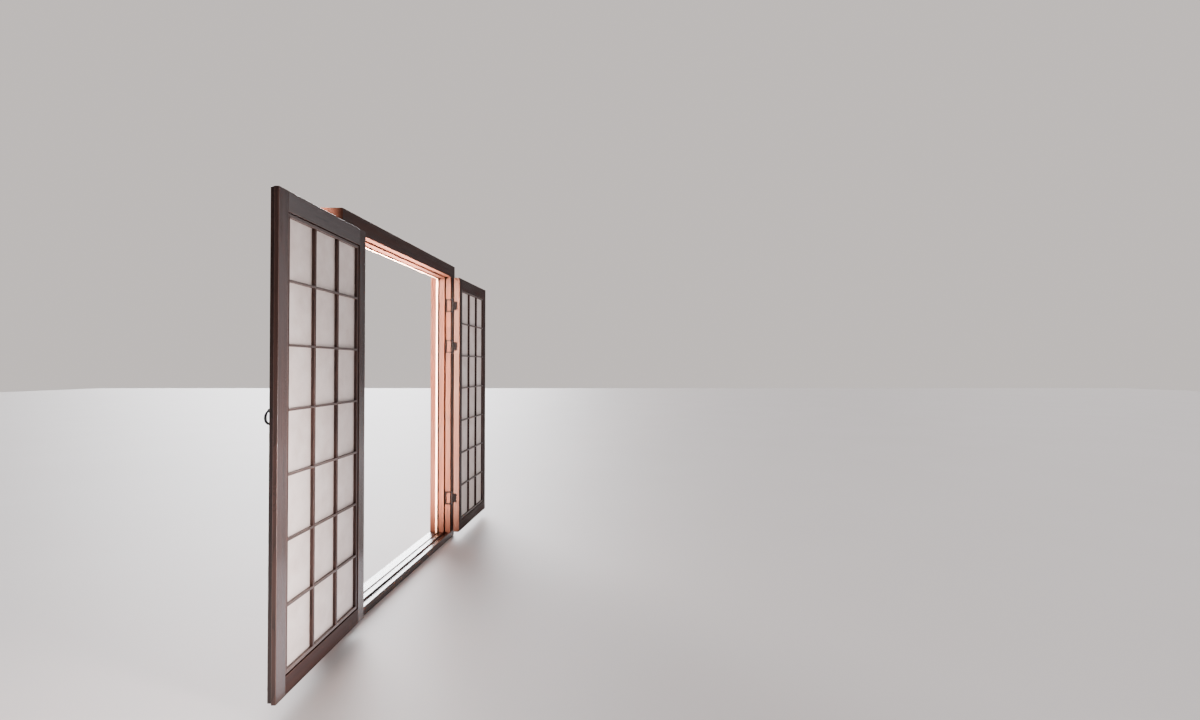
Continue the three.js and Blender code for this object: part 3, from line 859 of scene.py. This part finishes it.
def jamb_hinge(name, side):
    """Fixed half of a hinge. The plate lies on the rebate's face, under the leaf's edge."""
    low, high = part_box(name)
    hang = joints["far_leaf_swing"]["pos_m"]
    pin = Vector((side * hang[0], hang[1], (low.z + high.z) / 2))
    plate = [
        (0, -HINGE_END), (JAMB_PLATE_REACH, -HINGE_END), (JAMB_PLATE_REACH, HINGE_END), (0, HINGE_END),
        (0, WINDOW_END), (WINDOW_REACH, WINDOW_END), (WINDOW_REACH, -WINDOW_END), (0, -WINDOW_END),
    ]
    face = side * EDGE_GAP
    mesh = bmesh.new()
    place = lambda u, v, t: pin + Vector((face - side * t, u, v))
    sweep(mesh, plate, place, 0, PLATE, arris=PLATE_CORNER, ease=0.0005, pitch=0.01, worn=0)
    knuckle(mesh, pin, JAMB_KNUCKLE_START, HINGE_END, seam_angle(side))
    knuckle(mesh, pin, -HINGE_END, -JAMB_KNUCKLE_START, seam_angle(side))
    pin_head(mesh, pin, HINGE_END, 1)
    pin_head(mesh, pin, -HINGE_END, -1)
    fit(piece(name + "_iron", mesh, hinge_steel), "frame", "black_iron", name)
    return pin


def leaf_plate(leaf, place_name, height):
    """Moving half of a hinge, with two scallops in the plate's outer edge."""
    out, end, cut = LEAF_PLATE_REACH, LEAF_PLATE_END, 2 * PLATE_CORNER
    outline = [(LEAF_PLATE_SEAM, -end), (out - cut, -end), (out, cut - end)]
    for centre in (-SCALLOP_OFFSET, SCALLOP_OFFSET):
        for i in range(SCALLOP_CUTS + 1):
            angle = -math.pi / 2 - math.pi * i / SCALLOP_CUTS
            outline.append((out + SCALLOP * math.cos(angle), centre + SCALLOP * math.sin(angle)))
    outline += [(out, end - cut), (out - cut, end), (LEAF_PLATE_SEAM, end)]
    root = LEAF_PLATE_SEAM + WING_LAP
    wing = [(0.0, -end), (root, -end), (root, end), (0.0, end)]
    mesh = bmesh.new()
    pin_line = leaf.hang @ Vector((0, 0, height))
    turned = Matrix.Rotation(leaf.turn, 3, "Z")
    outside = -leaf.side * (EDGE_GAP - SHOULDER)
    thickness = PLATE - SHOULDER

    def place(u, v, t):
        return pin_line + turned @ Vector((outside + leaf.side * t, u, v))

    sweep(mesh, outline, place, 0, thickness, arris=0.001, ease=0.0004, pitch=0.01, worn=0)
    thin = (WING_INSET, thickness - WING_INSET)
    sweep(mesh, wing, place, *thin, arris=0.0002, ease=0.0002, pitch=0.01, worn=0)
    seam = leaf.turn + seam_angle(-leaf.side)
    knuckle(mesh, pin_line, -LEAF_KNUCKLE_END, LEAF_KNUCKLE_END, seam)
    made = leaf.piece(f"plate_{place_name}_iron", mesh, hinge_steel)
    leaf.fit(made, "black_iron", f"plate_{place_name}")


# The screws. Countersunk steel screws with crossed recesses hold both plates, each stopped at its own
# angle. Their heads stand just proud of the plates.
SCREW_HEAD = 0.0036
SCREW_RISE = 0.0007
RECESS = 0.0009
CROWN_SHARE = 0.7
CROSS_SHARE = 1.05
JAMB_SCREWS = [(0.045, 0.024), (0.045, -0.024), (0.022, 0.0435), (0.022, -0.0435)]
LEAF_SCREWS = [(0.0235, 0.022), (0.0235, 0.0), (0.0235, -0.022)]


def screw_tree():
    """Geometry nodes that set a screw head on each point, square to the point's own direction."""
    sockets = {
        "Points": "Geometry", "Head radius": "Float", "Rise": "Float", "Recess": "Float",
        "Seed": "Int", "Finish": "Material",
    }
    tree, given = new_tree("driven screws", sockets, "Screws")
    radius, rise = given["Head radius"], given["Rise"]
    crown = sums(tree, "MULTIPLY", radius, CROWN_SHARE)
    inputs = {"Vertices": 16, "Radius Top": crown, "Radius Bottom": radius, "Depth": rise}
    head = node(tree, "GeometryNodeMeshCone", inputs)
    length = sums(tree, "MULTIPLY", radius, CROSS_SHARE)
    cross = []
    for order in ((length, given["Recess"]), (given["Recess"], length)):
        size = node(tree, "ShaderNodeCombineXYZ", {0: order[0], 1: order[1], 2: rise})
        cross.append(node(tree, "GeometryNodeMeshCube", {"Size": size}))
    lift = node(tree, "ShaderNodeCombineXYZ", {2: rise})
    both = tree.nodes.new("GeometryNodeJoinGeometry")
    for cube in cross:
        tree.links.new(cube, both.inputs[0])
    cutter = node(tree, "GeometryNodeTransform", {"Geometry": both.outputs[0], "Translation": lift})
    cut = tree.nodes.new("GeometryNodeMeshBoolean")
    cut.operation = "DIFFERENCE"
    tree.links.new(head, cut.inputs[0])
    tree.links.new(cutter, cut.inputs[1])
    out = node(tree, "GeometryNodeInputNamedAttribute", {"Name": "out"}, data_type="FLOAT_VECTOR")
    facing = node(tree, "FunctionNodeAlignRotationToVector", {"Vector": out}, axis="Z")
    inputs = {"Min": 0.0, "Max": math.pi, "Seed": given["Seed"]}
    spin = node(tree, "FunctionNodeRandomValue", inputs, out=1)
    spin = node(tree, "FunctionNodeAxisAngleToRotation", {"Axis": (0, 0, 1), "Angle": spin})
    facing = node(tree, "FunctionNodeRotateRotation", {0: facing, 1: spin}, rotation_space="LOCAL")
    inputs = {"Points": given["Points"], "Instance": cut.outputs[0], "Rotation": facing}
    return end_tree(tree, node(tree, "GeometryNodeInstanceOnPoints", inputs), given["Finish"])


driven_screws = screw_tree()
worn_screws = iron_finish(
    "worn screws", tone(15, 13, 13), tone(25, 22, 22), tone(58, 54, 53),
    roughness=0.6, shine=0.02, depth=0.0002,
)
dark_screws = iron_finish(
    "dark screws", tone(5, 3, 3), tone(9, 6, 6), tone(24, 17, 16),
    roughness=0.8, shine=0.0, depth=0.0002,
)


def drive_screws(name, body, places, finish, seed):
    """One mesh of screws for a body. places are (point, direction the head faces)."""
    mesh = bpy.data.meshes.new(name)
    mesh.from_pydata([point for point, _ in places], [], [])
    out = mesh.attributes.new("out", "FLOAT_VECTOR", "POINT")
    out.data.foreach_set("vector", [c for _, direction in places for c in direction])
    host = new_object(name, mesh)
    run_tree(
        host, driven_screws, head_radius=SCREW_HEAD, rise=SCREW_RISE, recess=RECESS, seed=seed,
        finish=finish,
    )
    fit(host, body, "black_iron")


jamb_places = []
for leaf in leaves:
    jamb = leaf.name.replace("leaf", "jamb")
    inward = Vector((-leaf.side, 0, 0))
    turned = Matrix.Rotation(leaf.turn, 3, "Z")
    leaf_places = []
    for where in HINGES:
        pin = jamb_hinge(f"{jamb}_hinge_{where}", leaf.side)
        for u, v in JAMB_SCREWS:
            jamb_places.append((pin + Vector((leaf.side * (EDGE_GAP - PLATE), u, v)), inward))
        leaf_plate(leaf, where, pin.z - leaf.hang.translation.z)
        for u, v in LEAF_SCREWS:
            point = Vector((-leaf.side * (EDGE_GAP - PLATE), u, v))
            leaf_places.append((pin + turned @ point, turned @ -inward))
    drive_screws(f"{leaf.name}_screws", leaf.name, leaf_places, dark_screws, 7 + leaf.side)
drive_screws("frame_screws", "frame", jamb_places, worn_screws, 4)

# The pulls. A forged ring hangs in the eye of a flat staple, whose legs stand out from a turned rose on
# the meeting stile.
RING_RADIUS = 0.024
RING_WIRE = 0.0035  # the radius of its wire where it hangs in the eye
RING_STOUT = 1.3  # and how much thicker it is elsewhere
WORN_UNTIL = 0.85
WORN_FADE = 0.5
RING_STANDOFF = 0.013
RING_HEIGHT = 1.0345
ROSE_RADIUS = 0.018
ROSE_EDGE = 0.002
EYE_BORE = 0.0043
EYE_RADIUS = 0.0068
STAPLE_WIDTH = 0.004
STAPLE_EASE = 0.0006
ring_s = LEAF_WIDTH - (STILE + TONGUE) / 2
ring_d = LEAF_THICKNESS + RING_STANDOFF
pivot_h = RING_HEIGHT + RING_RADIUS
forged_iron = iron_finish(
    "forged iron", tone(5, 5, 6), tone(12, 12, 13), tone(46, 45, 46),
    roughness=0.5, shine=0.08, depth=0.0006,
)


def circle(radius, across, sides):
    """Closed round profile about a place across, rubbed on its outside."""
    profile = []
    for i in range(sides):
        angle = 2 * math.pi * i / sides
        c, s = math.cos(angle), math.sin(angle)
        profile.append((across + radius * c, radius * s, 0.5 + 0.5 * c))
    return profile


for leaf in leaves:

    def hanging(u, v, t):
        """The ring keeps its full thickness but for its top, where it has worn in the eye."""
        reach_out = math.hypot(u, v)
        full = min(1.0, max(0.0, (WORN_UNTIL - v / reach_out) / WORN_FADE))
        stout = 1 + (RING_STOUT - 1) * full
        out = (RING_RADIUS + (reach_out - RING_RADIUS) * stout) / reach_out
        return leaf.at(ring_s + u * out, ring_d + t * stout, RING_HEIGHT + v * out)

    mesh = bmesh.new()
    profile = circle(RING_WIRE, RING_RADIUS, 14)
    turn_profile(mesh, profile, hanging, sides=72, closed=True, uneven=0.00022, seed=leaf.side)
    made = leaf.piece("forged_ring", mesh, forged_iron)
    fit(made, leaf.name.replace("leaf", "ring"), "black_iron", f"{leaf.name}_pull_ring")

    mesh = bmesh.new()
    eye_h = pivot_h + EYE_BORE - RING_WIRE - SHOULDER
    rose = lambda u, v, t: leaf.at(ring_s + u, LEAF_THICKNESS + SHOULDER + t, pivot_h + v)
    rim, edge = ROSE_RADIUS, ROSE_EDGE
    profile = [
        (0, 0), (rim, 0, 1), (rim, edge * 0.6, 1), (rim * 0.96, edge, 1), (rim * 0.86, edge, 0),
        (rim * 0.8, edge * 0.7, 0), (rim * 0.7, edge * 0.8, 0), (rim * 0.45, edge * 1.25, 0.3),
        (0, edge * 1.5, 0.3),
    ]
    turn_profile(mesh, profile, rose, sides=40, uneven=0.00012, seed=3)
    eye = lambda u, v, t: leaf.at(ring_s + t, ring_d + u, eye_h + v)
    half, ease = STAPLE_WIDTH / 2, STAPLE_EASE
    band = [
        (EYE_BORE, -half + ease), (EYE_BORE, half - ease), (EYE_BORE + ease, half),
        (EYE_RADIUS - ease, half, 0.6), (EYE_RADIUS, half - ease, 1), (EYE_RADIUS, -half + ease, 1),
        (EYE_RADIUS - ease, -half, 0.6), (EYE_BORE + ease, -half),
    ]
    turn_profile(mesh, band, eye, sides=28, closed=True, seed=5)
    leg = [(-half, -EYE_BORE), (half, -EYE_BORE), (half, -HAIR), (-half, -HAIR)]
    for flip in (1, -1):
        shank = lambda u, v, t: leaf.at(ring_s + u, t, eye_h + flip * v)
        ends = (LEAF_THICKNESS + ROSE_EDGE, ring_d - (EYE_BORE + EYE_RADIUS) / 2)
        sweep(mesh, leg, shank, *ends, arris=STAPLE_EASE, ease=HAIR, pitch=0.01)
    leaf.fit(leaf.piece("staple_and_rose", mesh, forged_iron), "black_iron", "pull_staple")

# The studio. A plain pale floor under an even pale sky. Soft light falls from above and rises from below,
# on both sides of the doorway, while strong daylight comes slantwise through it.
FLOOR_SIZE = 60.0
FLOOR_LEVEL = -0.0005
SEEN_SKY = tone(236, 227, 223)
SEEN_STRENGTH = 0.95
SKY_TONE = tone(240, 240, 244)
SKY_LOW = 0.12
SKY_TOP = 0.6
# Each glow is its direction, the cosines where it starts and where it is full, and its strength.
ROOM_GLOW = (Vector((0.77, -0.64, 0.05)).normalized(), 0.95, 0.99, 3.0)
OUTDOOR_GLOW = (Vector((0.86, 0.42, 0.27)).normalized(), 0.93, 0.99, 36.0)
floor_data = bpy.data.meshes.new("studio_floor")
half = FLOOR_SIZE / 2
corners = [(x * half, y * half, FLOOR_LEVEL) for x, y in ((-1, -1), (1, -1), (1, 1), (-1, 1))]
floor_data.from_pydata(corners, [], [(0, 1, 2, 3)])
floor = new_object("studio_floor", floor_data)
pale, tree, shader, place = new_finish("pale floor")
drift = clouds(tree, place, 0.7, 2.0)
tree.links.new(mixed(tree, drift, tone(226, 216, 210), tone(232, 223, 218)), shader.inputs["Base Color"])
shader.inputs["Roughness"].default_value = 0.6
floor_data.materials.append(pale)


def soft_light(name, place, towards, width, height, power, colour, beam_deg=180):
    """A rectangular soft light aimed at a point."""
    data = bpy.data.lights.new(name, "AREA")
    data.shape, data.size, data.size_y = "RECTANGLE", width, height
    data.energy, data.color = power, colour
    data.spread = math.radians(beam_deg)
    lamp = new_object(name, data)
    lamp.location = place
    lamp.rotation_euler = (Vector(towards) - Vector(place)).to_track_quat("-Z", "Y").to_euler()
    lamp.visible_camera = False


soft_light(
    "outdoor daylight", (-1.6, 0.3, 1.2), (0.72, -0.05, 1.2),
    width=0.35, height=2.1, power=80, colour=(1.0, 0.63, 0.47), beam_deg=12,
)
soft_light(
    "sunlit doorstep", (-0.15, 0.2, 0.02), (-0.15, -0.01, 1.96),
    width=1.3, height=0.12, power=190, colour=(1.0, 0.76, 0.64), beam_deg=30,
)
soft_light(
    "low room light", (-2.34, -2.3, 0.62), (-2.34, -0.13, 0.62),
    width=0.35, height=1.08, power=56, colour=(1.0, 0.90, 0.89), beam_deg=70,
)
soft_light(
    "near room glow", (-0.5, -1.15, 0.02), (-0.5, -1.15, 1.0),
    width=1.7, height=1.9, power=15, colour=(0.96, 0.92, 1.0),
)
soft_light(
    "far room glow", (3.6, -3.3, 0.02), (3.6, -3.3, 1.0),
    width=6.0, height=4.0, power=60, colour=(0.97, 0.91, 1.0),
)
soft_light(
    "bright ground outdoors", (6.0, 3.6, 0.02), (6.0, 3.6, 1.0),
    width=9.0, height=4.0, power=450, colour=(1.0, 0.97, 0.97),
)

world = bpy.data.worlds.new("studio")
world.use_nodes = True
bpy.context.scene.world = world
tree = world.node_tree
tree.nodes.clear()
seen = node(tree, "ShaderNodeBackground", {"Color": SEEN_SKY, "Strength": SEEN_STRENGTH})
way = node(tree, "ShaderNodeTexCoord", {}, out="Generated")
height = node(tree, "ShaderNodeSeparateXYZ", {0: way}, out="Z")
strength = sums(tree, "ADD", spread(tree, height, 0.4, 0.9, 0.0, SKY_TOP), SKY_LOW)
for direction, rim, core, brightness in (ROOM_GLOW, OUTDOOR_GLOW):
    inputs = {0: way, 1: direction}
    facing = node(tree, "ShaderNodeVectorMath", inputs, out="Value", operation="DOT_PRODUCT")
    strength = sums(tree, "ADD", strength, spread(tree, facing, rim, core, 0.0, brightness))
lighting = node(tree, "ShaderNodeBackground", {"Color": SKY_TONE, "Strength": strength})
direct = node(tree, "ShaderNodeLightPath", {}, out="Is Camera Ray")
sky = node(tree, "ShaderNodeMixShader", {0: direct, 1: lighting, 2: seen})
tree.links.new(sky, tree.nodes.new("ShaderNodeOutputWorld").inputs["Surface"])

# The view. A wide lens on the room side of the doorway, a little above the pulls, looks along the frame
# past the near leaf.
EYE = (-3.527, -1.485, 1.272)
PITCH_DEG = 0.64
FOCAL_PIXELS = 573.89
PICTURE_WIDTH = 1200
AXIS_PIXEL = 641.72  # where the lens's axis meets the picture, across it
lens = bpy.data.cameras.new("view")
lens.sensor_width = 36.0
lens.lens = FOCAL_PIXELS / PICTURE_WIDTH * lens.sensor_width
lens.shift_x = (PICTURE_WIDTH / 2 - AXIS_PIXEL) / PICTURE_WIDTH
camera = new_object("view", lens)
camera.location = EYE
camera.rotation_euler = (math.radians(90 + PITCH_DEG), 0, math.radians(-90))
bpy.context.scene.camera = camera
